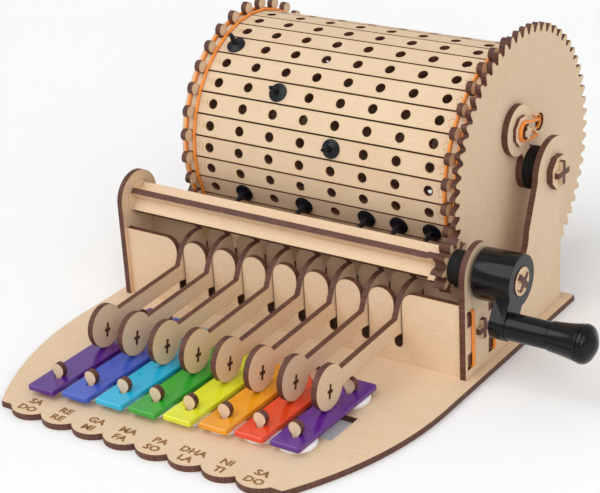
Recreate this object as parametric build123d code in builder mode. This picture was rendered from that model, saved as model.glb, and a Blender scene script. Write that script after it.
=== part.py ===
"""Hand-cranked barrel xylophone cut from 3 mm plywood: a pegged drum lifts eight hammers.

Frame: +X along the drum axle towards the crank, +Y to the back, +Z up. The origin is on the
underside of the base plate, straight below the middle of the drum axle. Millimetres.
"""
import os
from math import acos, atan2, cos, degrees, hypot, pi, radians, sin, sqrt, tan

from build123d import *

os.makedirs("parts", exist_ok=True)

# ---------------------------------------------------------------- driving dimensions
ply = 3.0                    # thickness of every wooden plate
note_count = 8
note_pitch = 18.0            # spacing of bars, hammers, panel slots and peg holes along X

# Drum.
slat_count = 32
slat_apothem = 56.4          # drum axis to the outer face of a slat
slat_gap = 0.22              # gap between the inner edges of neighbouring slats
slat_overhang_left = 17.0    # first row of peg holes to the slats' left ends
slat_overhang_right = 15.8   # last row of peg holes to the slats' right ends
top_slat_number = 21
top_slat_tilt = 4.04         # the uppermost slat leans this far to the back, degrees
slats_per_block = 4
ring_overhang = 11.5         # outer rows of peg holes to the middle of each lobed ring
knob_r = 3.0
knob_lift = 3.8              # slat face to the centres of the rings' knobs
neck_width = 3.2
peg_hole_r = 2.5
peg_flange_r = 4.75
peg_flange_thickness = 1.3
peg_reach = 8.7              # slat face to the tip of a peg
peg_pin_r = 1.1
# (note column from the left, slat number)
pegs = [(0, 18), (2, 16), (4, 14), (1, 11), (3, 11), (5, 11), (6, 11), (7, 11)]

# Gears.
wheel_teeth = 64
pinion_teeth = 10
wheel_rim = 10.8             # slat face to the wheel's pitch circle
pressure_angle = 25.0
wheel_addendum = 1.6
pinion_addendum = 2.1
shaft_drop_angle = 16.3      # crank shaft lies this far below the level of the drum axle, degrees

# Cross-shaped wooden axles: radius of the circle round each cross.
drum_axle_r = 6.0
hammer_axle_r = 5.0
shaft_core_r = 5.0
shaft_arm_r = 8.0
shaft_shoulder_r = 9.4
shaft_shoulder_length = 4.5
shaft_turn = 45.0            # the crank shaft's strips lean, degrees
axle_stub = 2.0              # axle ends stand this far out of the last plate
axle_cap_apothem = 8.0
end_disc_r = 8.9
shaft_spacer_r = 8.2
rubber_r = 10.6

# Base.
wheel_ground_gap = 2.0       # gear wheel's teeth to the base top
base_side_margin = 4.7       # wall to the base's side edge
base_back_margin = 6.5
label_margin = 10.24         # longest bar to the base's front edge
corner_margin = 6.0          # outer scallop to the base's front corner
side_curve_length = 90.0     # straight side edges end this far behind the front edge
scallop_depth = 4.5
window_margin_x = 11.0       # sound window beyond the outer notes
window_reach = (-12.0, 9.5)  # sound window from the bars' middle line, front and back

# Side walls.
wheel_wall_gap = 12.3        # gear wheel to the wall on the crank side
front_ear_r = 14.0
rear_ear_r = 17.0
wall_back_y = 8.0
neck_front_y = -26.0
wall_tab_length = 20.0
wall_tab_y = [-66.0, -14.0]

# Front and rear panels; each stands this far behind the crank shaft's axis.
front_panel_set = -8.92
rear_panel_set = 11.08
panel_rise = 15.8            # hammer pivot to the panels' top edge
corner_flat = 0.4            # straight top left between a panel tongue's two rounded corners
panel_tab_height = 6.5
panel_tab_heights = [9.0, 29.0]     # centre of each side tab above the base top
panel_foot_length = 12.0
slot_play = 0.7              # hammer to each side of its panel slot
slot_depth = 10.6            # hammer pivot to the centre of a slot's round end
tie_band_width = 2.4
tie_band_thickness = 1.2

# Bars, pads and posts.
bar_gap = 3.0                # between neighbouring bars
bar_thickness = 2.5
shortest_bar = 63.3          # the top note
bar_set = -75.42             # bars' middle line in front of the crank shaft's axis
pad_thickness = 3.0
pad_gap = 0.4                # between neighbouring pads
post_width = 3.6
post_head_r = 3.2
post_share = 0.16            # distance from the bar's end as a share of its length
bar_hole_length = 7.4

# Hammers.
pivot_set = 1.08             # hammer pivot behind the crank shaft's axis
pivot_drop = 28.49           # hammer pivot below the crank shaft's axis
hammer_head_r = 10.6
head_set = 3.0               # hammer head behind the bars' middle line
hammer_rest_gap = 0.15       # head to bar at rest
hub_arc_r = 16.0             # quarter disc above the pivot
shank_depth = 8.0
shank_drop = 4.2             # shank's upper edge above the head's centre, at the head
root_rise = 3.0              # shank's upper edge above the pivot, where it turns up
root_reach = 16.1            # pivot to that turn
tail_root_reach = 7.0        # pivot to the tail's root
tail_root_rise = 4.0
tail_depth = 6.0
tail_tip_gap = 1.2           # between a peg's tip and the hammer's tail at rest
tail_angle = 39.0            # the tail tip lies this far below the level of the drum axle, degrees
head_cross_lean = -12.0
head_cross_drop = 2.0        # cross-shaped cut below the head's centre
head_cross = [(1.6, 7.0), (4.2, 1.6)]

# Arm that locks the gear wheel to the axle, between the wheel and the wall.
lock_arm_gap = 0.4           # gear wheel to the arm
lock_pin_y = -12.0
lock_pin_lift = 22.5         # pin above the drum axle
lock_pin_r = 3.6
lock_pin_reach = 3.0         # pin beyond its cap
lock_pin_depth = 1.5         # pin into the wheel
lock_head_r = 12.5
lock_neck_width = 7.5
lock_cap_apothem = 7.0
lock_cap_thickness = 1.6
lock_band_y = 15.0
lock_band_lift = 17.5
lock_band_hole_r = 4.4
lock_band_thickness = 1.2
lock_band_width = 1.8
drum_band_thickness = 1.4
drum_band_width = 1.5

# Crank.
hub_wall_gap = 2.2
hub_r = 12.2
hub_length = 18.7
hub_recess_r = 7.0
end_button_r = 6.7           # wooden button on the shaft's end, in the hub's recess
end_button_lift = 0.4        # button's face beyond the hub's face
shaft_end_lift = 1.4         # shaft's end beyond the hub's face
hub_recess_depth = 4.0
crank_throw = 20.5
crank_angle = 32.0           # the arm leans this far to the front of straight down, degrees
crank_arm_thickness = 7.4
crank_arm_end_r = 7.0
spindle_r = 6.3
spindle_length = 19.9
knob_pin_r = 2.6
knob_length = 21.6
knob_cap_thickness = 5.0     # solid end of the knob beyond the pin
knob_grip_r = 9.0
knob_neck_r = 6.8
knob_groove_share = 0.66     # groove ring, as a share of the knob's length
knob_groove_depth = 1.0

# ---------------------------------------------------------------- clearances
slip = 0.05                  # around cross-shaped axles in their slots, and tabs in theirs
running = 0.08               # radial clearance of a turning shaft in its hole
side_gap = 0.3               # between faces that turn past each other
stack_gap = 0.1              # between plates and spacers threaded on one axle
band_play = 0.1              # around a stretched band
notch_play = 0.15            # around a ring's necks in the slats' notches
wheel_gap = 2.2              # slat ends to the gear wheel
band_side_gap = 0.3          # drum band to the knobs beside it
post_play = 0.1              # post in a bar's hole
pad_play = 0.2               # pad round its post
peg_stem_play = 0.05
root_clearance = 0.45
backlash = 0.5

# ---------------------------------------------------------------- derived places
note_x = [note_pitch * (i - (note_count - 1) / 2) for i in range(note_count)]
slat_step = 360 / slat_count
slat_left_x = note_x[0] - slat_overhang_left
slat_right_x = note_x[-1] + slat_overhang_right
ring_x = note_x[-1] + ring_overhang
wheel_x = slat_right_x + wheel_gap
wheel_outer_x = wheel_x + ply
lock_arm_x = wheel_outer_x + lock_arm_gap
lock_cap_end_x = lock_arm_x + ply + slip + lock_cap_thickness
wall_inner_x = wheel_outer_x + wheel_wall_gap
wall_outer_x = wall_inner_x + ply
pinion_x = wheel_x           # inner face of the pinion's inner ply
pinion_outer_x = pinion_x + 2 * ply
hub_x = wall_outer_x + hub_wall_gap
hub_face_x = hub_x + hub_length

wheel_pitch_r = slat_apothem + wheel_rim
tooth_module = 2 * wheel_pitch_r / wheel_teeth
centre_distance = tooth_module * (wheel_teeth + pinion_teeth) / 2
drum_z = ply + wheel_ground_gap + wheel_pitch_r + wheel_addendum
shaft_y = -centre_distance * cos(radians(shaft_drop_angle))
shaft_z = drum_z - centre_distance * sin(radians(shaft_drop_angle))
knob_centre_r = slat_apothem + knob_lift
lock_pin_place = (lock_pin_y, drum_z + lock_pin_lift)
lock_band_hole = (lock_band_y, drum_z + lock_band_lift)
crank_pin_y = shaft_y - crank_throw * sin(radians(crank_angle))
crank_pin_z = shaft_z - crank_throw * cos(radians(crank_angle))

front_panel_back_y = shaft_y + front_panel_set
rear_panel_back_y = shaft_y + rear_panel_set
pivot_y = shaft_y + pivot_set
pivot_z = shaft_z - pivot_drop
panel_top_z = pivot_z + panel_rise
slot_floor_z = pivot_z - slot_depth
slot_width = ply + 2 * slot_play
panel_corner_r = (note_pitch - slot_width - corner_flat) / 2
panel_foot_x = [-2.5 * note_pitch, 2.5 * note_pitch]

# Major scale, in semitones below the top note; a bar's length goes with the root of its pitch.
semitones_below_top = [12, 10, 8, 7, 5, 3, 1, 0]
bar_length = [shortest_bar * 2 ** (n / 24) for n in semitones_below_top]
bar_width = note_pitch - bar_gap
bar_hole_width = post_width + 2 * post_play
bar_centre_y = shaft_y + bar_set
bar_top_z = ply + pad_thickness + bar_thickness
pad_r = (note_pitch - pad_gap) / 2
hammer_head_y = bar_centre_y + head_set
hammer_head_z = bar_top_z + hammer_rest_gap + hammer_head_r

base_half_width = wall_outer_x + base_side_margin
base_back_y = wall_back_y + base_back_margin
base_front_y = bar_centre_y - bar_length[0] / 2 - label_margin
window_half_x = note_x[-1] + window_margin_x
window_y = [bar_centre_y + reach for reach in window_reach]


def save(piece, name):
    """Label a finished piece and write it to its own STEP file."""
    piece.part.label = name
    export_step(piece.part, f"parts/{name}.step")


def arm_half(cross_r):
    """Half the width of a strip whose corners lie on a circle of radius cross_r."""
    return sqrt(cross_r**2 - (ply / 2) ** 2)


def cross_hole(cross_r, play, turn=0.0):
    """Cross-shaped cut for an axle made of two interlocked strips."""
    for angle in (turn, turn + 90):
        Rectangle(2 * (arm_half(cross_r) + play), ply + 2 * play, rotation=angle, mode=Mode.SUBTRACT)


def cross_strips(names, y, z, turn, stations):
    """Two interlocked strips along X. stations lists (x start, x end, cross radius)."""
    x_start = stations[0][0]
    x_end = stations[-1][1]
    x_middle = (x_start + x_end) / 2
    for name, angle, slot in zip(names, (turn, turn + 90), ((x_middle, x_end), (x_start, x_middle))):
        lean = radians(angle)
        middle = Plane(origin=(0, y, z), x_dir=(1, 0, 0), z_dir=(0, -sin(lean), cos(lean)))
        with BuildPart() as strip:
            with BuildSketch(middle):
                for x0, x1, cross_r in stations:
                    with Locations(((x0 + x1) / 2, 0)):
                        Rectangle(x1 - x0, 2 * arm_half(cross_r))
                with Locations(((slot[0] + slot[1]) / 2, 0)):
                    Rectangle(slot[1] - slot[0], ply + 2 * slip, mode=Mode.SUBTRACT)
            extrude(amount=ply / 2, both=True)
        save(strip, name)


def gear_outline(teeth, addendum, dedendum, turn):
    """Closed outline of an involute gear, with a tooth centred at angle turn."""
    pitch_r = tooth_module * teeth / 2
    flank_angle = radians(pressure_angle)
    base_r = pitch_r * cos(flank_angle)
    tip_r = pitch_r + addendum
    root_r = pitch_r - dedendum
    pitch_half = (pi * tooth_module - backlash) / (4 * pitch_r) + tan(flank_angle) - flank_angle
    steps = 4

    def half_angle(r):
        roll = acos(min(1.0, base_r / r))
        return pitch_half - (tan(roll) - roll)

    start_r = max(base_r, root_r)
    flank = [(root_r, half_angle(start_r))]
    flank_r = [start_r + (tip_r - start_r) * k / steps for k in range(steps + 1)]
    flank += [(r, half_angle(r)) for r in flank_r]
    outline = []
    for tooth in range(teeth):
        middle = radians(turn) + 2 * pi * tooth / teeth
        outline += [(r * cos(middle - a), r * sin(middle - a)) for r, a in flank]
        outline += [(r * cos(middle + a), r * sin(middle + a)) for r, a in reversed(flank)]
    return outline


def side_plate(x):
    """Plane of a plate across the drum axis: local x is +Y and local y is +Z."""
    return Plane.YZ.offset(x)


# ================================================================ base
def scallops():
    """Front edge, one lobe under each note's labels, drawn from the right."""
    edge = note_pitch / 2
    for x in reversed(note_x):
        ThreePointArc((x + edge, base_front_y), (x, base_front_y - scallop_depth), (x - edge, base_front_y))


def post_places(i):
    """Middle of each of the two retaining posts of bar i."""
    reach = bar_length[i] * (0.5 - post_share)
    return [(note_x[i], bar_centre_y - reach), (note_x[i], bar_centre_y + reach)]


def make_base():
    lobe_end = note_x[-1] + note_pitch / 2
    corner_x = lobe_end + corner_margin
    straight_end_y = base_front_y + side_curve_length
    with BuildPart() as base:
        with BuildSketch(Plane.XY):
            with BuildLine():
                Line((-base_half_width, base_back_y), (base_half_width, base_back_y))
                Line((base_half_width, base_back_y), (base_half_width, straight_end_y))
                TangentArc((base_half_width, straight_end_y), (corner_x, base_front_y), tangent=(0, -1))
                Line((corner_x, base_front_y), (lobe_end, base_front_y))
                scallops()
                Line((-lobe_end, base_front_y), (-corner_x, base_front_y))
                TangentArc((-base_half_width, straight_end_y), (-corner_x, base_front_y), tangent=(0, -1))
                Line((-base_half_width, straight_end_y), (-base_half_width, base_back_y))
            make_face()
            with Locations((0, sum(window_y) / 2)):
                Rectangle(2 * window_half_x, window_y[1] - window_y[0], mode=Mode.SUBTRACT)
            wall_middle = wall_inner_x + ply / 2
            with Locations(*[(s * wall_middle, y) for s in (-1, 1) for y in wall_tab_y]):
                Rectangle(ply + 2 * slip, wall_tab_length + 2 * slip, mode=Mode.SUBTRACT)
            for back_y in (front_panel_back_y, rear_panel_back_y):
                with Locations(*[(x, back_y - ply / 2) for x in panel_foot_x]):
                    Rectangle(panel_foot_length + 2 * slip, ply + 2 * slip, mode=Mode.SUBTRACT)
            with Locations(*[place for i in range(note_count) for place in post_places(i)]):
                Rectangle(post_width + 2 * slip, ply + 2 * slip, mode=Mode.SUBTRACT)
        extrude(amount=ply)
    save(base, "base_plate")


# ================================================================ side walls and panels
def tie_band_slot():
    """(lowest z, highest z) of each wall slot, shared by a panel tab and its tie band."""
    half = panel_tab_height / 2
    reach = tie_band_thickness + 2 * band_play
    low, high = (ply + h for h in panel_tab_heights)
    lower_slot = (low - half - slip - reach, low + half + slip)
    upper_slot = (high - half - slip, high + half + slip + reach)
    return [lower_slot, upper_slot]


def tie_band_y(back_y):
    """Middle of the tie band, just behind a panel's rear face."""
    return back_y + band_play + tie_band_width / 2


def make_wall(name, inner_x, outer_x, shaft_hole_r):
    front_y = shaft_y - front_ear_r
    notch_left = shaft_y + front_ear_r
    notch_r = (neck_front_y - notch_left) / 2
    with BuildPart() as wall:
        with BuildSketch(side_plate(min(inner_x, outer_x))):
            with Locations(((front_y + wall_back_y) / 2, (ply + shaft_z) / 2)):
                Rectangle(wall_back_y - front_y, shaft_z - ply)
            with Locations(((notch_left + neck_front_y) / 2, shaft_z)):
                Circle(notch_r, mode=Mode.SUBTRACT)
            with Locations((shaft_y, shaft_z)):
                Circle(front_ear_r)
            with BuildLine():
                Polyline(
                    (neck_front_y, shaft_z),
                    (-rear_ear_r, drum_z),
                    (wall_back_y, drum_z),
                    (wall_back_y, shaft_z),
                    close=True,
                )
            make_face()
            with Locations((0, drum_z)):
                Circle(rear_ear_r)
            with Locations(*[(y, (ply + slip) / 2) for y in wall_tab_y]):
                Rectangle(wall_tab_length, ply + slip)
            with Locations((0, drum_z)):
                Circle(drum_axle_r + running, mode=Mode.SUBTRACT)
            with Locations((shaft_y, shaft_z)):
                Circle(shaft_hole_r, mode=Mode.SUBTRACT)
            with Locations((pivot_y, pivot_z)):
                cross_hole(hammer_axle_r, slip)
            for back_y in (front_panel_back_y, rear_panel_back_y):
                slot_front = back_y - ply - slip
                slot_back = back_y + 2 * band_play + tie_band_width
                for z0, z1 in tie_band_slot():
                    with Locations(((slot_front + slot_back) / 2, (z0 + z1) / 2)):
                        Rectangle(slot_back - slot_front, z1 - z0, mode=Mode.SUBTRACT)
        extrude(amount=ply)
    save(wall, name)


def make_panel(name, back_y):
    """Upright plate between the walls with one open-topped slot for each hammer."""
    with BuildPart() as panel:
        with BuildSketch(Plane.XZ.offset(-back_y)):
            with Locations((0, (ply + panel_top_z) / 2)):
                Rectangle(2 * wall_inner_x, panel_top_z - ply)
            for x in note_x:
                with Locations((x, (slot_floor_z + panel_top_z) / 2)):
                    Rectangle(slot_width, panel_top_z - slot_floor_z, mode=Mode.SUBTRACT)
                with Locations((x, slot_floor_z)):
                    Circle(slot_width / 2, mode=Mode.SUBTRACT)
        with BuildSketch(Plane.XZ.offset(-back_y)):
            with Locations(*[(x, ply / 2) for x in panel_foot_x]):
                Rectangle(panel_foot_length, ply)
            tab_middle_x = wall_inner_x + ply / 2
            with Locations(*[(s * tab_middle_x, ply + h) for s in (-1, 1) for h in panel_tab_heights]):
                Rectangle(ply, panel_tab_height)
        extrude(amount=ply)
        upper = panel.edges().filter_by(Axis.Y).group_by(Axis.Z)[-1].sort_by(Axis.X)
        fillet(upper[1:-1], panel_corner_r)
    save(panel, name)


def make_tie_bands():
    """Four stretched loops; each runs through two slots of a wall beside a panel's tabs."""
    (z_low, _), (_, z_high) = tie_band_slot()
    loop_low = z_low + band_play
    loop_high = z_high - band_play
    inner_half = ply / 2 + band_play
    outer_half = inner_half + tie_band_thickness
    wall_middle = wall_inner_x + ply / 2
    with BuildPart() as bands:
        for back_y in (front_panel_back_y, rear_panel_back_y):
            with BuildSketch(Plane.XZ.offset(-tie_band_y(back_y))):
                for side in (-1, 1):
                    with Locations((side * wall_middle, (loop_low + loop_high) / 2)):
                        RectangleRounded(2 * outer_half, loop_high - loop_low, tie_band_thickness * 0.8)
                        Rectangle(
                            2 * inner_half,
                            loop_high - loop_low - 2 * tie_band_thickness,
                            mode=Mode.SUBTRACT,
                        )
        extrude(amount=tie_band_width / 2, both=True)
    save(bands, "panel_tie_bands")


# ================================================================ bars, pads and posts
def make_bar(i):
    with BuildPart() as bar:
        with BuildSketch(Plane.XY.offset(ply + pad_thickness)):
            with Locations((note_x[i], bar_centre_y)):
                RectangleRounded(bar_width, bar_length[i], 0.8)
            with Locations(*post_places(i)):
                SlotOverall(bar_hole_length, bar_hole_width, rotation=90, mode=Mode.SUBTRACT)
        extrude(amount=bar_thickness)
        chamfer(bar.faces().sort_by(Axis.Z)[-1].outer_wire().edges(), 0.4)
    save(bar, f"tone_bar_{i + 1}")


def make_pads():
    """Soft round pads under both ends of every bar."""
    hole_r = hypot(post_width, ply) / 2 + pad_play
    with BuildPart() as pads:
        with BuildSketch(Plane.XY.offset(ply)):
            with Locations(*[place for i in range(note_count) for place in post_places(i)]):
                Circle(pad_r)
                Circle(hole_r, mode=Mode.SUBTRACT)
        extrude(amount=pad_thickness)
    save(pads, "bar_pads")


def make_posts():
    """Keyhole-shaped plates that stand in the base and hold the bars down loosely."""
    head_z = bar_top_z + post_head_r
    with BuildPart() as posts:
        for i in range(note_count):
            for x, y in post_places(i):
                with BuildSketch(Plane.XZ.offset(-y)):
                    with Locations((x, head_z / 2)):
                        Rectangle(post_width, head_z)
                    with Locations((x, head_z)):
                        Circle(post_head_r)
        extrude(amount=ply / 2, both=True)
    save(posts, "bar_posts")


# ================================================================ hammers
def make_hammer(i):
    """Head, shank, quarter disc above the pivot, and a tail that the pegs push down."""
    shank_top_z = hammer_head_z + shank_drop
    root_y = pivot_y - root_reach
    root_top_z = pivot_z + root_rise
    arc_front = (pivot_y - hub_arc_r * 0.8, pivot_z + hub_arc_r * 0.6)
    arc_middle = (pivot_y - hub_arc_r * 0.28, pivot_z + hub_arc_r * 0.96)
    arc_back = (pivot_y + hub_arc_r * 0.28, pivot_z + hub_arc_r * 0.96)
    tip_r = slat_apothem + peg_reach + tail_tip_gap
    tip_y = -tip_r * cos(radians(tail_angle))
    tip_z = drum_z - tip_r * sin(radians(tail_angle))
    tail_root_y = pivot_y + tail_root_reach
    with BuildPart() as hammer:
        with BuildSketch(side_plate(note_x[i] - ply / 2)):
            with Locations((hammer_head_y, hammer_head_z)):
                Circle(hammer_head_r)
            with BuildLine():
                Polyline(
                    (hammer_head_y, shank_top_z),
                    (root_y, root_top_z),
                    arc_front,
                    (pivot_y, pivot_z),
                    (pivot_y, pivot_z - shank_depth),
                    (root_y, root_top_z - shank_depth),
                    (hammer_head_y, shank_top_z - shank_depth),
                    close=True,
                )
            make_face()
            with BuildLine():
                Polyline(
                    arc_front,
                    arc_back,
                    (tail_root_y, pivot_z + tail_root_rise),
                    (tip_y, tip_z),
                    (tip_y - 1.0, tip_z - tail_depth),
                    (tail_root_y, pivot_z - shank_depth),
                    (pivot_y, pivot_z - shank_depth),
                    (pivot_y - hub_arc_r * 0.75, pivot_z - hub_arc_r * 0.28),
                    close=True,
                )
            make_face()
            with BuildLine():
                Line((pivot_y, pivot_z), arc_front)
                ThreePointArc(arc_front, arc_middle, arc_back)
                Line(arc_back, (pivot_y, pivot_z))
            make_face()
            with Locations((pivot_y, pivot_z)):
                Circle(hammer_axle_r + running, mode=Mode.SUBTRACT)
            with Locations((hammer_head_y, hammer_head_z - head_cross_drop)):
                for width, height in head_cross:
                    Rectangle(width, height, rotation=head_cross_lean, mode=Mode.SUBTRACT)
        extrude(amount=ply)
    save(hammer, f"hammer_{i + 1}")


# ================================================================ drum
def slat_angle(number):
    """Angle of a slat in the YZ plane, from +Y towards +Z; numbers rise towards the back."""
    return 90 - top_slat_tilt + (top_slat_number - number) * slat_step


def slat_plane(number):
    """Plane on a slat's outer face: local x is +X and the normal points away from the drum axis."""
    a = radians(slat_angle(number))
    out = (0, cos(a), sin(a))
    place = (0, slat_apothem * out[1], drum_z + slat_apothem * out[2])
    return Plane(origin=place, x_dir=(1, 0, 0), z_dir=out)


def make_slats(first, last):
    """One block of neighbouring slats, each a separate flat strip with a row of peg holes."""
    inner_apothem = slat_apothem - ply
    slat_width = 2 * inner_apothem * tan(radians(slat_step / 2)) - slat_gap
    notch_depth = (neck_width - slat_gap) / 2 + notch_play
    with BuildPart() as slats:
        for number in range(first, last + 1):
            with BuildSketch(slat_plane(number)):
                with Locations(((slat_left_x + slat_right_x) / 2, 0)):
                    Rectangle(slat_right_x - slat_left_x, slat_width)
                with Locations(*[(sx * ring_x, sy * slat_width / 2) for sx in (-1, 1) for sy in (-1, 1)]):
                    Rectangle(ply + 2 * notch_play, 2 * notch_depth, mode=Mode.SUBTRACT)
                with Locations(*[(x, 0) for x in note_x]):
                    Circle(peg_hole_r, mode=Mode.SUBTRACT)
            extrude(amount=-ply)
    save(slats, f"drum_slats_{first:02d}_{last:02d}")


def make_ring(name, x_middle):
    """Plate inside the slats with a round knob standing out between every two of them."""
    with BuildPart() as ring:
        with BuildSketch(side_plate(x_middle - ply / 2)):
            with Locations((0, drum_z)):
                facet_turn = slat_angle(top_slat_number) + slat_step / 2
                inner_apothem = slat_apothem - ply - stack_gap
                RegularPolygon(inner_apothem, slat_count, major_radius=False, rotation=facet_turn)
                with PolarLocations(knob_centre_r, slat_count, start_angle=facet_turn):
                    Circle(knob_r)
                neck_length = knob_centre_r - inner_apothem + knob_r
                with PolarLocations(knob_centre_r - neck_length / 2, slat_count, start_angle=facet_turn):
                    Rectangle(neck_length, neck_width)
                cross_hole(drum_axle_r, slip)
        extrude(amount=ply)
    save(ring, name)


def make_middle_disc():
    """Plain disc that carries the slats at mid-length, between the fourth and fifth holes."""
    with BuildPart() as disc:
        with BuildSketch(side_plate(-ply / 2)):
            with Locations((0, drum_z)):
                facet_turn = slat_angle(top_slat_number) + slat_step / 2
                inner_apothem = slat_apothem - ply - stack_gap
                RegularPolygon(inner_apothem, slat_count, major_radius=False, rotation=facet_turn)
                cross_hole(drum_axle_r, slip)
        extrude(amount=ply)
    save(disc, "drum_middle_disc")


def make_wheel():
    """Gear wheel that closes the crank end of the drum."""
    toward_shaft = 180 + shaft_drop_angle
    dedendum = pinion_addendum + root_clearance
    with BuildPart() as wheel:
        with BuildSketch(side_plate(wheel_x)):
            with Locations((0, drum_z)):
                Polygon(*gear_outline(wheel_teeth, wheel_addendum, dedendum, toward_shaft), align=None)
                cross_hole(drum_axle_r, slip)
            with Locations(lock_band_hole):
                Circle(lock_band_hole_r, mode=Mode.SUBTRACT)
            with Locations(lock_pin_place):
                cross_hole(lock_pin_r, slip)
        extrude(amount=ply)
    save(wheel, "gear_wheel")


def make_drum_bands():
    """Stretched silicone rings that hold the slats down, one each side of both rows of knobs."""
    inner_r = hypot(slat_apothem, (slat_apothem - ply) * tan(radians(slat_step / 2))) + band_play
    offset = ply / 2 + band_side_gap + drum_band_width / 2
    with BuildPart() as bands:
        for side in (-1, 1):
            for x in (side * ring_x - offset, side * ring_x + offset):
                with BuildSketch(side_plate(x - drum_band_width / 2)):
                    with Locations((0, drum_z)):
                        Circle(inner_r + drum_band_thickness)
                        Circle(inner_r, mode=Mode.SUBTRACT)
        extrude(amount=drum_band_width)
    save(bands, "drum_bands")


def make_pegs():
    """Black plastic pegs pushed into the slats; each has a flange and a tapered pin."""
    stem_r = peg_hole_r - peg_stem_play
    with BuildPart() as peg:
        with BuildSketch(Plane.XZ):
            with BuildLine():
                Polyline(
                    (0, -ply),
                    (stem_r, -ply),
                    (stem_r, 0),
                    (peg_flange_r, 0),
                    (peg_flange_r, peg_flange_thickness * 0.6),
                    (peg_flange_r * 0.6, peg_flange_thickness),
                    (peg_pin_r * 1.4, peg_flange_thickness + 0.5),
                    (peg_pin_r, peg_reach - 1.2),
                    (peg_pin_r * 0.5, peg_reach),
                    (0, peg_reach),
                    close=True,
                )
            make_face()
        revolve(axis=Axis.Z)
    with BuildPart() as pegboard:
        for column, number in pegs:
            plane = slat_plane(number)
            origin = plane.origin + Vector(note_x[column], 0, 0)
            plane = Plane(origin=origin, x_dir=(1, 0, 0), z_dir=plane.z_dir)
            add(plane * peg.part)
    save(pegboard, "program_pegs")


def make_lock_arm():
    """Arm that locks the gear wheel to the axle, its cap and its cross-shaped pin."""
    reach = hypot(lock_pin_y, lock_pin_lift)
    lean = degrees(atan2(lock_pin_lift, lock_pin_y))
    with BuildPart() as arm:
        with BuildSketch(side_plate(lock_arm_x)):
            with Locations(lock_pin_place):
                Circle(lock_head_r)
            with Locations((0, drum_z)):
                Circle(rubber_r)
            with Locations((lock_pin_y / 2, drum_z + lock_pin_lift / 2)):
                Rectangle(reach, lock_neck_width, rotation=lean)
            with Locations((0, drum_z)):
                cross_hole(drum_axle_r, slip)
            with Locations(lock_pin_place):
                cross_hole(lock_pin_r, slip)
        extrude(amount=ply)
    save(arm, "lock_arm")
    with BuildPart() as cap:
        with BuildSketch(side_plate(lock_arm_x + ply + slip)):
            with Locations(lock_pin_place):
                RegularPolygon(lock_cap_apothem, 8, major_radius=False, rotation=22.5)
                cross_hole(lock_pin_r, slip)
        extrude(amount=lock_cap_thickness)
    save(cap, "lock_arm_cap")
    pin_start_x = wheel_outer_x - lock_pin_depth
    with BuildPart() as pin:
        with BuildSketch(side_plate(pin_start_x)):
            with Locations(lock_pin_place):
                Rectangle(2 * arm_half(lock_pin_r), ply)
                Rectangle(ply, 2 * arm_half(lock_pin_r))
        extrude(amount=lock_cap_end_x + lock_pin_reach - pin_start_x)
    save(pin, "lock_pin")


def make_rubber_spacer(name, x_start, x_end):
    with BuildPart() as spacer:
        with BuildSketch(side_plate(x_start)):
            with Locations((0, drum_z)):
                Circle(rubber_r)
                Circle(drum_axle_r + slip, mode=Mode.SUBTRACT)
        extrude(amount=x_end - x_start)
    save(spacer, name)


def make_lock_band():
    """Short stretched loop between the locking pin and a hole in the gear wheel."""
    run = Vector(*lock_band_hole) - Vector(*lock_pin_place)
    middle = Vector(*lock_pin_place) + run * 0.5
    lean = degrees(atan2(run.Y, run.X))
    loop_r = lock_pin_r + band_play
    with BuildPart() as band:
        with BuildSketch(side_plate(lock_cap_end_x + band_play)):
            with Locations(middle):
                SlotCenterToCenter(run.length, 2 * (loop_r + lock_band_thickness), rotation=lean)
                SlotCenterToCenter(run.length, 2 * loop_r, rotation=lean, mode=Mode.SUBTRACT)
        extrude(amount=lock_band_width)
    save(band, "lock_band")


def make_axle_cap(name, x0):
    with BuildPart() as cap:
        with BuildSketch(side_plate(x0)):
            with Locations((0, drum_z)):
                RegularPolygon(axle_cap_apothem, 8, major_radius=False, rotation=22.5)
                cross_hole(drum_axle_r, slip)
        extrude(amount=ply)
    save(cap, name)


# ================================================================ crank shaft
def make_pinion_ply(name, x0):
    half_tooth = 180 / pinion_teeth
    toward_wheel = shaft_drop_angle
    dedendum = wheel_addendum + root_clearance
    with BuildPart() as pinion:
        with BuildSketch(side_plate(x0)):
            with Locations((shaft_y, shaft_z)):
                turn = toward_wheel + half_tooth
                Polygon(*gear_outline(pinion_teeth, pinion_addendum, dedendum, turn), align=None)
                cross_hole(shaft_core_r, slip, shaft_turn)
        extrude(amount=ply - slip)
    save(pinion, name)


def make_shaft_fittings():
    with BuildPart() as disc:
        with BuildSketch(side_plate(-wall_outer_x)):
            with Locations((shaft_y, shaft_z)):
                Circle(end_disc_r)
                cross_hole(shaft_core_r, slip, shaft_turn)
        extrude(amount=ply)
    save(disc, "shaft_end_disc")
    with BuildPart() as spacer:
        with BuildSketch(side_plate(pinion_outer_x + stack_gap)):
            with Locations((shaft_y, shaft_z)):
                Circle(shaft_spacer_r)
                Circle(shaft_core_r + slip, mode=Mode.SUBTRACT)
        extrude(amount=wall_inner_x - side_gap - pinion_outer_x - stack_gap)
    save(spacer, "shaft_spacer")
    with BuildPart() as button:
        with BuildSketch(side_plate(hub_face_x + end_button_lift - ply)):
            with Locations((shaft_y, shaft_z)):
                Circle(end_button_r)
                cross_hole(shaft_core_r, slip, shaft_turn)
        extrude(amount=ply)
    save(button, "shaft_end_button")


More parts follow.
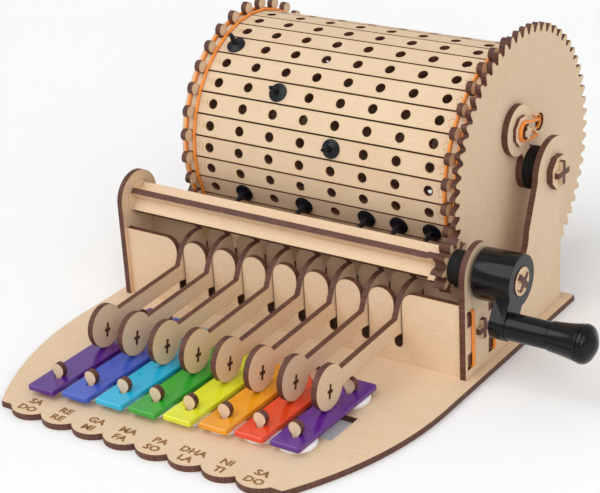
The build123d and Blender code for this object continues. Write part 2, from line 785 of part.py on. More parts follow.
def make_crank():
    """Plastic crank: hub over the shaft end, arm, and a spindle for the knob."""
    with BuildPart() as crank:
        with BuildSketch(side_plate(hub_x)):
            with Locations((shaft_y, shaft_z)):
                Circle(hub_r)
        extrude(amount=hub_length)
        with BuildSketch(side_plate(hub_face_x - crank_arm_thickness)):
            with Locations(((shaft_y + crank_pin_y) / 2, (shaft_z + crank_pin_z) / 2)):
                Rectangle(crank_throw, 2 * crank_arm_end_r, rotation=90 - crank_angle)
            with Locations((crank_pin_y, crank_pin_z)):
                Circle(crank_arm_end_r)
        extrude(amount=crank_arm_thickness)
        with BuildSketch(side_plate(hub_face_x)):
            with Locations((crank_pin_y, crank_pin_z)):
                Circle(spindle_r)
        extrude(amount=spindle_length)
        with BuildSketch(side_plate(hub_face_x + spindle_length)):
            with Locations((crank_pin_y, crank_pin_z)):
                Circle(knob_pin_r)
        extrude(amount=knob_length - knob_cap_thickness)
        with BuildSketch(side_plate(hub_x)):
            with Locations((shaft_y, shaft_z)):
                Circle(shaft_core_r + slip)
        extrude(amount=hub_length, mode=Mode.SUBTRACT)
        with BuildSketch(side_plate(hub_face_x - hub_recess_depth)):
            with Locations((shaft_y, shaft_z)):
                Circle(hub_recess_r)
        extrude(amount=hub_recess_depth, mode=Mode.SUBTRACT)
    save(crank, "crank_handle")


def make_knob():
    """Waisted knob with a groove ring and a domed end; it spins on the crank's spindle."""
    x0 = hub_face_x + spindle_length + side_gap
    bore_x = x0 + knob_length - knob_cap_thickness
    tip_x = x0 + knob_length
    groove_x = x0 + knob_length * knob_groove_share
    bore_z = crank_pin_z + knob_pin_r + running
    grip_z = crank_pin_z + knob_grip_r
    neck_z = crank_pin_z + knob_neck_r
    groove_half = 0.8 * knob_groove_depth
    waist = (x0 + knob_length * 0.3, neck_z + (grip_z - neck_z) * 0.31)
    before_groove = (groove_x - groove_half, grip_z - 0.4 * knob_groove_depth)
    in_groove = (groove_x, grip_z - knob_groove_depth)
    after_groove = (groove_x + groove_half, grip_z)
    shoulder = (tip_x - knob_grip_r * 0.18, crank_pin_z + knob_grip_r * 0.58)
    with BuildPart() as knob:
        with BuildSketch(Plane.XZ.offset(-crank_pin_y)):
            with BuildLine():
                Line((x0, bore_z), (x0, neck_z))
                Spline((x0, neck_z), waist, before_groove)
                Line(before_groove, in_groove)
                Line(in_groove, after_groove)
                Spline(after_groove, shoulder, (tip_x, crank_pin_z), tangents=[(1, 0), (0, -1)])
                Line((tip_x, crank_pin_z), (bore_x, crank_pin_z))
                Line((bore_x, crank_pin_z), (bore_x, bore_z))
                Line((bore_x, bore_z), (x0, bore_z))
            make_face()
        revolve(axis=Axis((0, crank_pin_y, crank_pin_z), (1, 0, 0)))
    save(knob, "crank_knob")


# ================================================================ build
make_base()
make_wall("side_wall_left", -wall_inner_x, -wall_outer_x, end_disc_r + running)
make_wall("side_wall_right", wall_inner_x, wall_outer_x, shaft_core_r + running)
make_panel("front_panel", front_panel_back_y)
make_panel("rear_panel", rear_panel_back_y)
make_tie_bands()

for note in range(note_count):
    make_bar(note)
    make_hammer(note)
make_pads()
make_posts()
axle_end = wall_outer_x + axle_stub
cross_strips(
    ("hammer_axle_flat", "hammer_axle_upright"),
    pivot_y,
    pivot_z,
    0.0,
    [(-axle_end, axle_end, hammer_axle_r)],
)

for block_start in range(1, slat_count + 1, slats_per_block):
    make_slats(block_start, block_start + slats_per_block - 1)
make_ring("drum_ring_left", -ring_x)
make_ring("drum_ring_right", ring_x)
make_middle_disc()
make_wheel()
make_drum_bands()
make_pegs()
drum_axle_end = wall_outer_x + side_gap + ply + axle_stub
cross_strips(
    ("drum_axle_flat", "drum_axle_upright"),
    0,
    drum_z,
    0.0,
    [(-drum_axle_end, drum_axle_end, drum_axle_r)],
)
make_axle_cap("axle_cap_left", -wall_outer_x - side_gap - ply)
make_axle_cap("axle_cap_right", wall_outer_x + side_gap)
spacer_start_x = lock_arm_x + ply + stack_gap
spacer_end_x = wall_inner_x - side_gap
spacer_split_x = (spacer_start_x + spacer_end_x) / 2
make_rubber_spacer("rubber_spacer_inner", spacer_start_x, spacer_split_x - stack_gap / 2)
make_rubber_spacer("rubber_spacer_outer", spacer_split_x + stack_gap / 2, spacer_end_x)
make_lock_arm()
make_lock_band()

shoulder_start_x = pinion_x - shaft_shoulder_length
shoulder_end_x = pinion_x - stack_gap
cross_strips(
    ("crank_shaft_strip_a", "crank_shaft_strip_b"),
    shaft_y,
    shaft_z,
    shaft_turn,
    [
        (-wall_outer_x, -wall_inner_x + side_gap, shaft_core_r),
        (-wall_inner_x + side_gap, shoulder_start_x, shaft_arm_r),
        (shoulder_start_x, shoulder_end_x, shaft_shoulder_r),
        (shoulder_end_x, hub_face_x + shaft_end_lift, shaft_core_r),
    ],
)
make_pinion_ply("pinion_inner_ply", pinion_x)
make_pinion_ply("pinion_outer_ply", pinion_x + ply)
make_shaft_fittings()
make_crank()
make_knob()
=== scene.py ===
"""Looks for the hand-cranked barrel xylophone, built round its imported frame.

Lengths are in metres; a number times MM is in millimetres. The object faces -Y, the crank is at +X.
"""
import math

import bmesh
import bpy
from mathutils import Matrix, Vector


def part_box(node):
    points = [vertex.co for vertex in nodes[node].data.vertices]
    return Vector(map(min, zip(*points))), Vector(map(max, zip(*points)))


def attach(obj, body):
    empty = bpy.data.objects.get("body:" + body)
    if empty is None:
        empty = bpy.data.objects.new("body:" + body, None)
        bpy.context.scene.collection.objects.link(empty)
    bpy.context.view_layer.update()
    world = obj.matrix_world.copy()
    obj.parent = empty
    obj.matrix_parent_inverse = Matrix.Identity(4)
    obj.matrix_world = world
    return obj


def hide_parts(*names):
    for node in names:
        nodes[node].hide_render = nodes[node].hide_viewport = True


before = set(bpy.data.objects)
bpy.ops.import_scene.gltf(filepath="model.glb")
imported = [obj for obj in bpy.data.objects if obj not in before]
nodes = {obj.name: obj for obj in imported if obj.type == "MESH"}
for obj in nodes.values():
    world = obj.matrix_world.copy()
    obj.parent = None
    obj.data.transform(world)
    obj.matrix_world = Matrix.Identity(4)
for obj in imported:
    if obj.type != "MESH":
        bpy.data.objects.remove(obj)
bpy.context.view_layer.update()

MM = 0.001
AXLE_Z = 73.8 * MM           # drum axle above the floor
SLATS = 32
SLAT_STEP = 360 / SLATS      # degrees from one slat to the next
TOP_SLAT = 21                # the slat nearest the top at rest
TOP_SLAT_ANGLE = 85.96       # its place in degrees, from +Y towards +Z
SLAT_FACE_R = 56.4 * MM      # axle to the middle of a slat's outer face
SLAT_CORNER_R = 57.45 * MM   # axle to the middle of a band where it crosses a slat's edge
NOTE_X = [18.0 * MM * (i - 3.5) for i in range(8)]
BAR_CENTRE_Y = -150.0 * MM
BASE_TOP = 3.0 * MM
PAD_HEIGHT = 3.0


# ---------------------------------------------------------------- material graph helper
class Graph:
    """A material's node tree, with short calls for the nodes used here."""

    def __init__(self, name):
        self.material = bpy.data.materials.new(name)
        self.material.use_nodes = True
        self.tree = self.material.node_tree
        self.tree.nodes.clear()
        output = self.tree.nodes.new("ShaderNodeOutputMaterial")
        self.shader = self.tree.nodes.new("ShaderNodeBsdfPrincipled")
        self.tree.links.new(self.shader.outputs[0], output.inputs[0])
        self.coords = self.tree.nodes.new("ShaderNodeTexCoord")

    def put(self, socket, value):
        if isinstance(value, bpy.types.NodeSocket):
            self.tree.links.new(value, socket)
        else:
            socket.default_value = value

    def node(self, kind, inputs=(), **properties):
        made = self.tree.nodes.new("ShaderNode" + kind)
        for key, value in properties.items():
            setattr(made, key, value)
        for key, value in dict(inputs).items():
            self.put(made.inputs[key], value)
        return made

    def set(self, **inputs):
        for key, value in inputs.items():
            self.put(self.shader.inputs[key.replace("_", " ")], value)

    def math(self, operation, a, b=0.0, clamp=False):
        return self.node("Math", {0: a, 1: b}, operation=operation, use_clamp=clamp).outputs[0]

    def vector(self, operation, a, b=(0, 0, 0)):
        made = self.node("VectorMath", {0: a, 1: b}, operation=operation)
        return made.outputs["Value" if operation == "DOT_PRODUCT" else "Vector"]

    def scaled(self, scale, offset=(0, 0, 0)):
        """Object coordinates, stretched by a scale for each axis."""
        moved = self.vector("ADD", self.coords.outputs["Object"], offset)
        return self.vector("MULTIPLY", moved, scale)

    def noise(self, vector, scale=1.0, detail=3.0, roughness=0.55):
        inputs = {"Vector": vector, "Scale": scale, "Detail": detail, "Roughness": roughness}
        return self.node("TexNoise", inputs).outputs[0]

    def spread(self, value, low, high, to_low=0.0, to_high=1.0):
        """Maps low..high to to_low..to_high, clamped."""
        inputs = {0: value, 1: low, 2: high, 3: to_low, 4: to_high}
        return self.node("MapRange", inputs, clamp=True).outputs[0]

    def mix(self, factor, a, b, blend="MIX"):
        made = self.node("Mix", data_type="RGBA", blend_type=blend)
        self.put(made.inputs[0], factor)
        for index, value in ((6, a), (7, b)):
            if isinstance(value, tuple):
                value = (*value, 1.0)
            self.put(made.inputs[index], value)
        return made.outputs[2]

    def bump(self, height, strength, distance, normal=None):
        inputs = {"Height": height, "Strength": strength, "Distance": distance}
        if normal is not None:
            inputs["Normal"] = normal
        return self.node("Bump", inputs).outputs[0]

    def near_edge(self, radius, full_at):
        """1 beside a sharp edge, 0 on open surface."""
        rounded = self.node("Bevel", {"Radius": radius}, samples=4).outputs[0]
        true = self.node("NewGeometry").outputs["Normal"]
        agreement = self.vector("DOT_PRODUCT", rounded, true)
        return self.spread(self.math("SUBTRACT", 1.0, agreement), 0.004, full_at)


# ---------------------------------------------------------------- materials
FACE_LIGHT = (0.790, 0.590, 0.400)
FACE_DARK = (0.640, 0.430, 0.255)
SCORCH = (0.470, 0.250, 0.060)
HALO = (0.720, 0.440, 0.130)
EDGE_LIGHT = (0.200, 0.080, 0.050)
EDGE_DARK = (0.055, 0.019, 0.012)
SPECKLE = (0.52, 0.34, 0.19)
PALE_PATCH = (0.86, 0.70, 0.53)
GRAIN_STRETCH = {"X": (70, 1500, 1500), "Y": (1500, 70, 1500), "Z": (1500, 1500, 70)}
STREAK_STRETCH = {"X": (90, 2600, 2600), "Y": (2600, 90, 2600), "Z": (2600, 2600, 90)}


def facing(graph, kind):
    """1 on a plate's two large faces, 0 on its cut edges, from the surface's own direction."""
    normal = graph.coords.outputs["Normal"]
    if kind == "radial":
        outward = graph.vector("MULTIPLY", graph.scaled((1, 1, 1), (0, 0, -AXLE_Z)), (0, 1, 1))
        along = graph.vector("DOT_PRODUCT", normal, graph.vector("NORMALIZE", outward))
    else:
        lean = {"X": (1, 0, 0), "Y": (0, 1, 0), "Z": (0, 0, 1)}
        lean["slant_up"] = (0, -math.sqrt(0.5), math.sqrt(0.5))
        lean["slant_down"] = (0, math.sqrt(0.5), math.sqrt(0.5))
        along = graph.vector("DOT_PRODUCT", normal, lean[kind])
    return graph.spread(graph.math("ABSOLUTE", along), 0.80, 0.90)


def plywood(name, across, grain, seed, tone, scorch_reach, scorch):
    """Laser-cut plywood: pale speckled faces, grain, scorched rims and burnt, streaky edges."""
    graph = Graph(name)
    offset = (seed * 0.13, seed * 0.29, seed * 0.41)
    face = facing(graph, across)

    fibre = graph.noise(graph.scaled(GRAIN_STRETCH[grain], offset), detail=4.0)
    speckle = graph.noise(graph.scaled((1900, 1900, 1900), offset), detail=2.0)
    patch = graph.noise(graph.scaled((38, 38, 38), offset), detail=2.0)
    colour = graph.mix(graph.spread(fibre, 0.35, 0.75, 0.0, 0.30), FACE_LIGHT, FACE_DARK)
    colour = graph.mix(graph.spread(speckle, 0.48, 0.72, 0.0, 0.42), colour, SPECKLE)
    colour = graph.mix(graph.spread(patch, 0.35, 0.70, 0.0, 0.22), colour, PALE_PATCH)
    # tone darkens the whole plate: a random tone difference for most parts, painted shade for the
    # right wall and the drum's middle disc
    if tone != 1.0:
        colour = graph.mix(1.0, colour, (tone, tone, tone), "MULTIPLY")

    rim = graph.near_edge(scorch_reach * MM, 0.30)
    uneven = graph.spread(graph.noise(graph.scaled((260, 260, 260), offset)), 0.30, 0.65, 0.25, 1.0)
    stain = graph.math("MULTIPLY", graph.math("MULTIPLY", rim, uneven), scorch)
    colour = graph.mix(stain, colour, SCORCH)
    halo = graph.near_edge(2.6 * scorch_reach * MM, 0.42)
    halo = graph.math("MULTIPLY", graph.math("MULTIPLY", halo, uneven), 0.38 * scorch)
    colour = graph.mix(halo, colour, HALO)

    streak_scale = STREAK_STRETCH.get(across, (2600, 500, 500))
    streaks = graph.noise(graph.scaled(streak_scale, offset), detail=2.0)
    burnt = graph.mix(graph.spread(streaks, 0.32, 0.68), EDGE_DARK, EDGE_LIGHT)
    char = graph.spread(graph.noise(graph.scaled((150, 150, 150), offset)), 0.35, 0.70, 0.0, 0.45)
    burnt = graph.mix(char, burnt, EDGE_DARK)

    graph.set(Base_Color=graph.mix(face, burnt, colour))
    rough_face = graph.spread(fibre, 0.3, 0.7, 0.56, 0.74)
    rough_edge = graph.spread(streaks, 0.3, 0.7, 0.42, 0.66)
    either = graph.node("Mix", {0: face, 2: rough_edge, 3: rough_face}, data_type="FLOAT")
    graph.set(Roughness=either.outputs[0])
    edge = graph.math("SUBTRACT", 1.0, face)
    relief = graph.math("ADD", fibre, graph.math("MULTIPLY", streaks, edge))
    graph.set(Normal=graph.bump(relief, 0.22, 0.00012))
    graph.shader.inputs["Specular IOR Level"].default_value = 0.35
    return graph.material


def enamel(name, colour):
    """Glossy coloured lacquer on a metal bar, with faint dust and orange peel."""
    graph = Graph(name)
    cloud = graph.noise(graph.scaled((90, 30, 90)), detail=3.0)
    darker = tuple(c * 0.80 for c in colour)
    graph.set(Base_Color=graph.mix(graph.spread(cloud, 0.35, 0.7, 0.0, 0.6), colour, darker))
    smear = graph.noise(graph.scaled((240, 60, 240)), detail=4.0)
    graph.set(Roughness=graph.spread(smear, 0.3, 0.7, 0.24, 0.33))
    peel = graph.noise(graph.scaled((900, 900, 900)), detail=1.0)
    rounded = graph.node("Bevel", {"Radius": 0.5 * MM}, samples=4).outputs[0]
    graph.set(Normal=graph.bump(peel, 0.05, 0.0001, rounded))
    graph.shader.inputs["Coat Weight"].default_value = 0.5
    graph.shader.inputs["Coat Roughness"].default_value = 0.12
    return graph.material


def moulded(name, colour, roughness, bevel=0.0, bump=0.06, subsurface=0.0, specular=0.5):
    """Moulded plastic, rubber or silicone: fine pitting, and a cloudy roughness."""
    graph = Graph(name)
    cloud = graph.noise(graph.scaled((110, 110, 110)), detail=3.0)
    lighter = tuple(min(1.0, c * 1.35 + 0.004) for c in colour)
    graph.set(Base_Color=graph.mix(graph.spread(cloud, 0.4, 0.7, 0.0, 0.5), colour, lighter))
    graph.set(Roughness=graph.spread(cloud, 0.3, 0.7, *roughness))
    pits = graph.noise(graph.scaled((1500, 1500, 1500)), detail=2.0)
    rounded = graph.node("Bevel", {"Radius": bevel}, samples=4).outputs[0] if bevel else None
    graph.set(Normal=graph.bump(pits, bump, 0.0001, rounded))
    graph.shader.inputs["Specular IOR Level"].default_value = specular
    if subsurface:
        graph.shader.inputs["Subsurface Weight"].default_value = subsurface
        graph.shader.inputs["Subsurface Radius"].default_value = (0.003, 0.003, 0.003)
        graph.shader.inputs["Subsurface Scale"].default_value = 1.0
    return graph.material


def engraving(name, light, dark):
    """Lines that a laser has browned: uneven, darker in spots."""
    graph = Graph(name)
    uneven = graph.noise(graph.scaled((900, 900, 900)), detail=3.0)
    graph.set(Base_Color=graph.mix(graph.spread(uneven, 0.35, 0.65), light, dark))
    graph.set(Roughness=graph.spread(uneven, 0.3, 0.7, 0.6, 0.85))
    graph.set(Normal=graph.bump(uneven, 0.3, 0.00008))
    return graph.material


def give(node_name, material):
    """Puts the material on every slot of a CAD node."""
    mesh = nodes[node_name].data
    for index in range(max(1, len(nodes[node_name].material_slots))):
        if index < len(mesh.materials):
            nodes[node_name].material_slots[index].material = material
        else:
            mesh.materials.append(material)


# (node, plate lies across, grain along, tone, width of the scorched rim in mm, its strength); the
# lower tone of the right wall and of the drum's middle disc is painted shade
PLATES = [
    ("base_plate", "Z", "X", 1.0, 1.0, 0.50),
    ("side_wall_left", "X", "Z", 1.0, 1.2, 0.50),
    # painted shade: the right wall's lower tone darkens the side that turns away from the key light
    ("side_wall_right", "X", "Z", 0.97, 1.2, 0.50),
    ("front_panel", "Y", "X", 1.0, 1.2, 0.60),
    ("rear_panel", "Y", "X", 0.96, 1.2, 0.60),
    ("bar_posts", "Y", "Z", 1.0, 0.7, 0.45),
    ("hammer_axle_flat", "Z", "X", 0.92, 0.8, 0.7),
    ("hammer_axle_upright", "Y", "X", 0.92, 0.8, 0.7),
    ("drum_ring_left", "X", "Z", 0.95, 1.3, 0.8),
    ("drum_ring_right", "X", "Z", 0.95, 1.3, 0.8),
    ("gear_wheel", "X", "Z", 0.95, 1.4, 0.8),
    ("drum_axle_flat", "Z", "X", 0.92, 0.8, 0.7),
    ("drum_axle_upright", "Y", "X", 0.92, 0.8, 0.7),
    ("axle_cap_left", "X", "Z", 1.0, 1.0, 0.6),
    ("axle_cap_right", "X", "Z", 1.0, 1.0, 0.6),
    ("lock_arm", "X", "Z", 1.0, 1.2, 0.6),
    ("lock_arm_cap", "X", "Y", 1.0, 1.0, 0.6),
    ("lock_pin", "X", "X", 0.9, 0.8, 0.7),
    ("crank_shaft_strip_a", "slant_up", "X", 1.0, 1.0, 0.5),
    ("crank_shaft_strip_b", "slant_down", "X", 1.0, 1.0, 0.5),
    ("pinion_inner_ply", "X", "Z", 0.55, 2.0, 1.0),
    ("pinion_outer_ply", "X", "Z", 0.80, 1.8, 1.0),
    ("shaft_end_disc", "X", "Z", 1.0, 1.0, 0.6),
    ("shaft_end_button", "X", "Z", 1.0, 0.8, 0.6),
    # painted shade: the middle disc's lower tone darkens the inside of the drum
    ("drum_middle_disc", "X", "Z", 0.85, 1.0, 0.5),
]
PLATES += [(f"hammer_{i}", "X", "Y", 1.0 - 0.03 * (i % 3), 1.1, 0.55) for i in range(1, 9)]
PLATES += [
    (f"drum_slats_{a:02d}_{a + 3:02d}", "radial", "X", 1.0 - 0.03 * (a % 2), 1.1, 0.60)
    for a in range(1, 33, 4)
]
for place, (node_name, across, grain, tone, reach, strength) in enumerate(PLATES):
    give(node_name, plywood(f"ply_{node_name}", across, grain, place + 1, tone, reach, strength))

BAR_COLOURS = [
    (0.085, 0.010, 0.235),
    (0.045, 0.105, 0.560),
    (0.010, 0.480, 0.760),
    (0.025, 0.390, 0.030),
    (0.800, 0.850, 0.020),
    (0.930, 0.370, 0.008),
    (0.830, 0.060, 0.012),
    (0.110, 0.012, 0.270),
]
for i, colour in enumerate(BAR_COLOURS):
    give(f"tone_bar_{i + 1}", enamel(f"enamel_{i + 1}", colour))

rubber = moulded(
    "black_rubber", (0.006, 0.005, 0.005), (0.55, 0.80), bevel=0.5 * MM, bump=0.15, specular=0.25
)
gloss_black = moulded(
    "crank_gloss", (0.0015, 0.0015, 0.002), (0.08, 0.16), bevel=0.5 * MM, bump=0.02, specular=0.28
)
satin_black = moulded(
    "peg_satin", (0.003, 0.004, 0.007), (0.22, 0.36), bevel=0.2 * MM, bump=0.05, specular=0.28
)
silicone = moulded(
    "orange_silicone", (0.900, 0.260, 0.030), (0.38, 0.55), bump=0.08, subsurface=0.25
)
soft_white = moulded(
    "soft_white", (0.840, 0.840, 0.850), (0.35, 0.55), bump=0.10, subsurface=0.30
)
label_brown = engraving("label_brown", (0.400, 0.200, 0.050), (0.170, 0.070, 0.018))
faint_gold = engraving("faint_gold", (0.620, 0.430, 0.190), (0.480, 0.300, 0.100))
for node_name in ("rubber_spacer_inner", "rubber_spacer_outer", "shaft_spacer"):
    give(node_name, rubber)
for node_name in ("crank_handle", "crank_knob"):
    give(node_name, gloss_black)
give("program_pegs", satin_black)


# ---------------------------------------------------------------- pieces
def mesh_object(name, body, material, build, smooth=True):
    """A new piece, riding on a body: build fills a bmesh, in the part's frame."""
    shape = bmesh.new()
    build(shape)
    bmesh.ops.recalc_face_normals(shape, faces=shape.faces)
    mesh = bpy.data.meshes.new(name)
    shape.to_mesh(mesh)
    shape.free()
    for polygon in mesh.polygons:
        polygon.use_smooth = smooth
    mesh.materials.append(material)
    piece = bpy.data.objects.new(name, mesh)
    bpy.context.scene.collection.objects.link(piece)
    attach(piece, body)
    return piece


def oval(half_u, half_v, power, count=16):
    """Points of a rounded section."""
    points = []
    for k in range(count):
        a = 2 * math.pi * k / count
        c, s = math.cos(a), math.sin(a)
        u = half_u * math.copysign(abs(c) ** (2 / power), c)
        v = half_v * math.copysign(abs(s) ** (2 / power), s)
        points.append((u, v))
    return points


def sweep(shape, path, normal, section):
    """A closed loop in one plane with that section; u points out of the loop, v along its normal."""
    rows = []
    count = len(path)
    for k in range(count):
        tangent = (path[(k + 1) % count] - path[k - 1]).normalized()
        outward = tangent.cross(normal)
        rows.append([shape.verts.new(path[k] + outward * u + normal * v) for u, v in section])
    for k in range(count):
        here, there = rows[k], rows[(k + 1) % count]
        for j in range(len(section)):
            n = (j + 1) % len(section)
            shape.faces.new((here[j], here[n], there[n], there[j]))


def across_axle(x, angle, radius):
    """Point on a circle round the drum axle; the angle runs from +Y towards +Z, in degrees."""
    a = math.radians(angle)
    return Vector((x, radius * math.cos(a), AXLE_Z + radius * math.sin(a)))


def slat_angle(number):
    """Where a slat's middle is at rest, in degrees from +Y towards +Z."""
    return TOP_SLAT_ANGLE + (TOP_SLAT - number) * SLAT_STEP


def build_drum_bands(shape):
    """Four stretched rings, straight between the slats' edges and rounded in section."""
    width = 1.5 * MM
    ring_middle, offset = 74.5 * MM, 2.55 * MM
    section = oval(0.68 * MM, width / 2 * 0.97, 2.6)
    half = SLAT_STEP / 2
    pieces = 6                # straight steps across one slat
    flat_middle_r = SLAT_CORNER_R * math.cos(math.radians(half))
    for side in (-1, 1):
        for x in (side * ring_middle - offset, side * ring_middle + offset):
            path = []
            for k in range(SLATS * pieces):
                angle = slat_angle(TOP_SLAT) + half + k * SLAT_STEP / pieces
                within = (k % pieces) * SLAT_STEP / pieces - half
                path.append(across_axle(x, angle, flat_middle_r / math.cos(math.radians(within))))
            sweep(shape, path, Vector((1, 0, 0)), section)


def rounded_rectangle(half_w, half_h, corner, steps=6):
    """Points of a rectangle with round corners, centred on the origin."""
    points = []
    for sx, sy, start in ((1, 1, 0), (-1, 1, 90), (-1, -1, 180), (1, -1, 270)):
        for k in range(steps + 1):
            a = math.radians(start + 90 * k / steps)
            centre = (sx * (half_w - corner), sy * (half_h - corner))
            points.append((centre[0] + corner * math.cos(a), centre[1] + corner * math.sin(a)))
    return points


def build_tie_bands(shape):
    """Four loops through the walls' slots, one at each end of both panels."""
    low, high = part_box("panel_tie_bands")
    thickness, width = 1.2 * MM, 2.4 * MM
    half_wall, gap = 1.5 * MM, 0.1 * MM
    half_w = half_wall + gap + thickness / 2
    half_h = (high.z - low.z) / 2 - thickness / 2
    middle_z = (low.z + high.z) / 2
    wall_x = high.x - thickness - gap - half_wall
    section = oval(thickness / 2 * 0.97, width / 2 * 0.97, 3.4)
    for y in (low.y + width / 2, high.y - width / 2):
        for side in (-1, 1):
            path = [
                Vector((side * wall_x + u, y, middle_z + v))
                for u, v in rounded_rectangle(half_w, half_h, 0.9 * MM)
            ]
            sweep(shape, path, Vector((0, 1, 0)), section)


def build_lock_band(shape):
    """Short loop from the locking pin to the hole in the gear wheel."""
    low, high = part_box("lock_band")
    pin = Vector((0, -12.0 * MM, AXLE_Z + 22.5 * MM))
    hole = Vector((0, 15.0 * MM, AXLE_Z + 17.5 * MM))
    hole_r, pin_r = 3.4 * MM, 4.35 * MM
    bend_steps, straight_steps = 12, 10
    run = hole - pin
    lean = math.atan2(run.z, run.y)
    flat = []
    for centre, r, start in ((hole, hole_r, -90), (pin, pin_r, 90)):
        for k in range(bend_steps + 1):
            a = lean + math.radians(start + 180 * k / bend_steps)
            flat.append((centre.y + r * math.cos(a), centre.z + r * math.sin(a)))
    straight_starts = (bend_steps, 2 * bend_steps + 1)
    path = []
    for k, (y, z) in enumerate(flat):
        y_next, z_next = flat[(k + 1) % len(flat)]
        pieces = straight_steps if k in straight_starts else 1
        for j in range(pieces):
            share = j / pieces
            path.append([y + (y_next - y) * share, z + (z_next - z) * share])
    cap_x = low.x + 0.9 * MM             # where the band lies on the cap's outer side
    dive_start, dive_run, dive_depth = 12.5 * MM, 12.0 * MM, 7.6 * MM
    points = []
    for y, z in path:
        along = ((y - pin.y) * run.y + (z - pin.z) * run.z) / run.length
        dive = min(1.0, max(0.0, (along - dive_start) / dive_run))
        dive = dive * dive * (3 - 2 * dive)
        points.append(Vector((cap_x - dive_depth * dive, y, z)))
    sweep(shape, points, Vector((1, 0, 0)), oval(0.58 * MM, 0.88 * MM, 3.0))


def bar_length(i):
    """Length of tone bar i, counted from 0, along Y."""
    low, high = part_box(f"tone_bar_{i + 1}")
    return high.y - low.y


def post_places():
    """(x, y) of every retaining post, two for each bar."""
    end_share = 0.16          # of a bar's length, from its end to the post
    places = []
    for i, x in enumerate(NOTE_X):
        reach = bar_length(i) * (0.5 - end_share)
        places += [(x, BAR_CENTRE_Y - reach), (x, BAR_CENTRE_Y + reach)]
    return places


def build_pads(shape):
    """Soft round pads: bulged sides, a slight crown, and a hole for the post."""
    hole_r = 2.55
    turns = 48
    # (radius, height) in millimetres, from the hole round the bulge and back to the hole
    profile = [(hole_r, 0.0), (8.1, 0.0), (8.55, 0.25), (8.85, 0.8), (8.94, 1.5), (8.8, 2.2)]
    profile += [(8.4, 2.72), (7.7, 2.96), (6.5, PAD_HEIGHT), (hole_r, PAD_HEIGHT)]
    for x, y in post_places():
        rings = []
        for r, z in profile:
            ring = []
            for k in range(turns):
                a = 2 * math.pi * k / turns
                point = (x + r * MM * math.cos(a), y + r * MM * math.sin(a), BASE_TOP + z * MM)
                ring.append(shape.verts.new(point))
            rings.append(ring)
        for j in range(len(rings)):
            here, there = rings[j], rings[(j + 1) % len(rings)]
            for k in range(turns):
                n = (k + 1) % turns
                shape.faces.new((here[k], here[n], there[n], there[k]))


drum_rings = mesh_object("drum_band_rings", "drum", silicone, build_drum_bands)
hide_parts("drum_bands")
tie_loops = mesh_object("tie_band_loops", "frame", silicone, build_tie_bands)
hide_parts("panel_tie_bands")
lock_loop = mesh_object("lock_band_loop", "drum", silicone, build_lock_band)
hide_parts("lock_band")
pads = mesh_object("soft_bar_pads", "frame", soft_white, build_pads)
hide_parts("bar_pads")


# ---------------------------------------------------------------- engraved marks
LINE_HEIGHT = 0.03 * MM      # engraved lines stand this far proud of the wood


def text_mesh(words, size, bold):
    """A flat word, centred on the origin in the XY plane, as a thin closed mesh."""
    curve = bpy.data.curves.new("word", "FONT")
    curve.body = words
    curve.size = size
    curve.align_x = "CENTER"
    curve.align_y = "CENTER"
    curve.offset = bold
    curve.extrude = LINE_HEIGHT
    curve.resolution_u = 2
    holder = bpy.data.objects.new("word", curve)
    bpy.context.scene.collection.objects.link(holder)
    graph = bpy.context.evaluated_depsgraph_get()
    mesh = bpy.data.meshes.new_from_object(holder.evaluated_get(graph))
    bpy.data.objects.remove(holder)
    bpy.data.curves.remove(curve)
    return mesh


def add_mesh(shape, mesh, place):
    """Moves a mesh into place, adds it to the bmesh and removes it."""
    mesh.transform(place)
    shape.from_mesh(mesh)
    bpy.data.meshes.remove(mesh)


def build_labels(shape):
    """Two rows of note names along the front edge."""
    upper = ["SA", "RE", "GA", "MA", "PA", "DHA", "NI", "SA"]
    lower = ["DO", "RE", "MI", "FA", "SO", "LA", "TI", "DO"]
    for row, y in ((upper, -198.0 * MM), (lower, -204.2 * MM)):
        for x, word in zip(NOTE_X, row):
            place = Matrix.Translation((x, y, BASE_TOP)) @ Matrix.Diagonal((1.12, 1.0, 1.0, 1.0))
            add_mesh(shape, text_mesh(word, 5.6 * MM, 0.24 * MM), place)


def on_slat(number, x):
    """Matrix of a mark on a slat's outer face: its x along +X, its y the way the numbers rise."""
    a = math.radians(slat_angle(number))
    out = Vector((0, math.cos(a), math.sin(a)))
    up = Vector((0, math.sin(a), -math.cos(a)))
    place = Vector((x, 0, AXLE_Z)) + out * SLAT_FACE_R
    columns = Matrix((Vector((1, 0, 0)), up, out)).transposed()
    return Matrix.Translation(place) @ columns.to_4x4()


def build_numbers(shape):
    """1 to 32 at the slats' left ends; each slat carries the number below its own."""
    for number in range(1, SLATS + 1):
        word = text_mesh(str(number), 4.7 * MM, -0.02 * MM)
        add_mesh(shape, word, on_slat(number + 1, -68.4 * MM))


def build_arrows(shape):
    """Outlined arrows that show which way the numbers rise."""
    # shaft and head of one arrow, in millimetres
    outer = [(-1.0, -2.2), (1.0, -2.2), (1.0, 0.2), (2.2, 0.2), (0, 2.4), (-2.2, 0.2), (-1.0, 0.2)]
    inner = [(u * 0.76, (v + 0.1) * 0.80 - 0.1) for u, v in outer]
    for number in range(1, SLATS + 1):
        place = on_slat(number, 69.4 * MM)
        loops = []
        for z in (0.0, LINE_HEIGHT):
            for outline in (outer, inner):
                points = [place @ Vector((u * MM, v * MM, z)) for u, v in outline]
                loops.append([shape.verts.new(point) for point in points])
        low_outer, low_inner, high_outer, high_inner = loops
        for a, b in (
            (high_outer, high_inner),
            (low_inner, low_outer),
            (low_outer, high_outer),
            (high_inner, low_inner),
        ):
            for k in range(len(outer)):
                n = (k + 1) % len(outer)
                shape.faces.new((a[k], a[n], b[n], b[k]))


labels = mesh_object("note_labels", "frame", label_brown, build_labels, smooth=False)
numbers = mesh_object("slat_numbers", "drum", faint_gold, build_numbers, smooth=False)
arrows = mesh_object("slat_arrows", "drum", faint_gold, build_arrows, smooth=False)
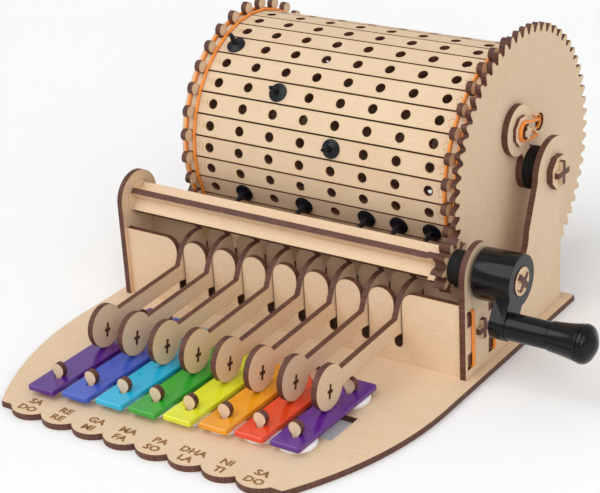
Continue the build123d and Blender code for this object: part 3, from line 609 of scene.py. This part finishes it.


# ---------------------------------------------------------------- rounded edges of the crank handle
crank_handle = nodes["crank_handle"]
weld = crank_handle.modifiers.new("weld", "WELD")
weld.merge_threshold = 0.002 * MM
bevel = crank_handle.modifiers.new("round", "BEVEL")
bevel.width = 0.7 * MM
bevel.segments = 3
bevel.limit_method = "ANGLE"
bevel.angle_limit = math.radians(40)
bevel.harden_normals = False


# ---------------------------------------------------------------- floor, light and camera
def build_floor(shape):
    """A wide square just below the base's underside."""
    half, z = 4.0, -0.3 * MM
    corners = ((-half, -half), (half, -half), (half, half), (-half, half))
    shape.faces.new([shape.verts.new((x, y, z)) for x, y in corners])


floor_graph = Graph("floor_white")
floor_graph.set(Base_Color=(0.96, 0.96, 0.96, 1.0), Roughness=0.95)
floor_mesh = bpy.data.meshes.new("floor")
floor_shape = bmesh.new()
build_floor(floor_shape)
floor_shape.to_mesh(floor_mesh)
floor_shape.free()
floor_mesh.materials.append(floor_graph.material)
floor = bpy.data.objects.new("floor", floor_mesh)
bpy.context.scene.collection.objects.link(floor)

world = bpy.data.worlds.new("studio")
world.use_nodes = True
world.node_tree.nodes["Background"].inputs[0].default_value = (1.0, 1.0, 1.0, 1.0)
world.node_tree.nodes["Background"].inputs[1].default_value = 0.62
bpy.context.scene.world = world


def soft_light(name, place, target, size, power):
    """A rectangular studio lamp at place, turned towards target."""
    lamp = bpy.data.lights.new(name, "AREA")
    lamp.shape = "RECTANGLE"
    lamp.size, lamp.size_y = size
    lamp.energy = power
    holder = bpy.data.objects.new(name, lamp)
    holder.location = place
    holder.rotation_mode = "QUATERNION"
    holder.rotation_quaternion = (Vector(place) - Vector(target)).to_track_quat("Z", "Y")
    bpy.context.scene.collection.objects.link(holder)


def soft_sun(name, towards, strength, spread):
    """Even light from one side of the sky; towards points from the object to it."""
    lamp = bpy.data.lights.new(name, "SUN")
    lamp.energy = strength
    lamp.angle = math.radians(spread)
    holder = bpy.data.objects.new(name, lamp)
    holder.rotation_mode = "QUATERNION"
    holder.rotation_quaternion = Vector(towards).to_track_quat("Z", "Y")
    bpy.context.scene.collection.objects.link(holder)


soft_sun("key", (-0.35, -0.75, 1.0), 1.15, 50)
soft_sun("fill", (0.9, -0.5, 0.8), 0.45, 40)
soft_light("strip", (0.75, -0.85, 0.55), (0.12, -0.08, 0.05), (0.12, 0.5), 1.2)

camera_data = bpy.data.cameras.new("camera")
camera_data.lens = 101.2
camera_data.sensor_width = 36.0
camera_data.clip_start, camera_data.clip_end = 0.01, 20.0
camera = bpy.data.objects.new("camera", camera_data)
right = Vector((0.82901, 0.55665, -0.05375))
up = Vector((-0.18870, 0.36893, 0.91010))
back = Vector((0.52644, -0.74434, 0.41088))
turn = Matrix((right, up, back)).transposed()
camera.rotation_mode = "QUATERNION"
camera.rotation_quaternion = turn.to_quaternion()
camera.location = (0.42823, -0.67757, 0.37715)
bpy.context.scene.collection.objects.link(camera)
bpy.context.scene.camera = camera
bpy.context.scene.view_settings.view_transform = "Standard"
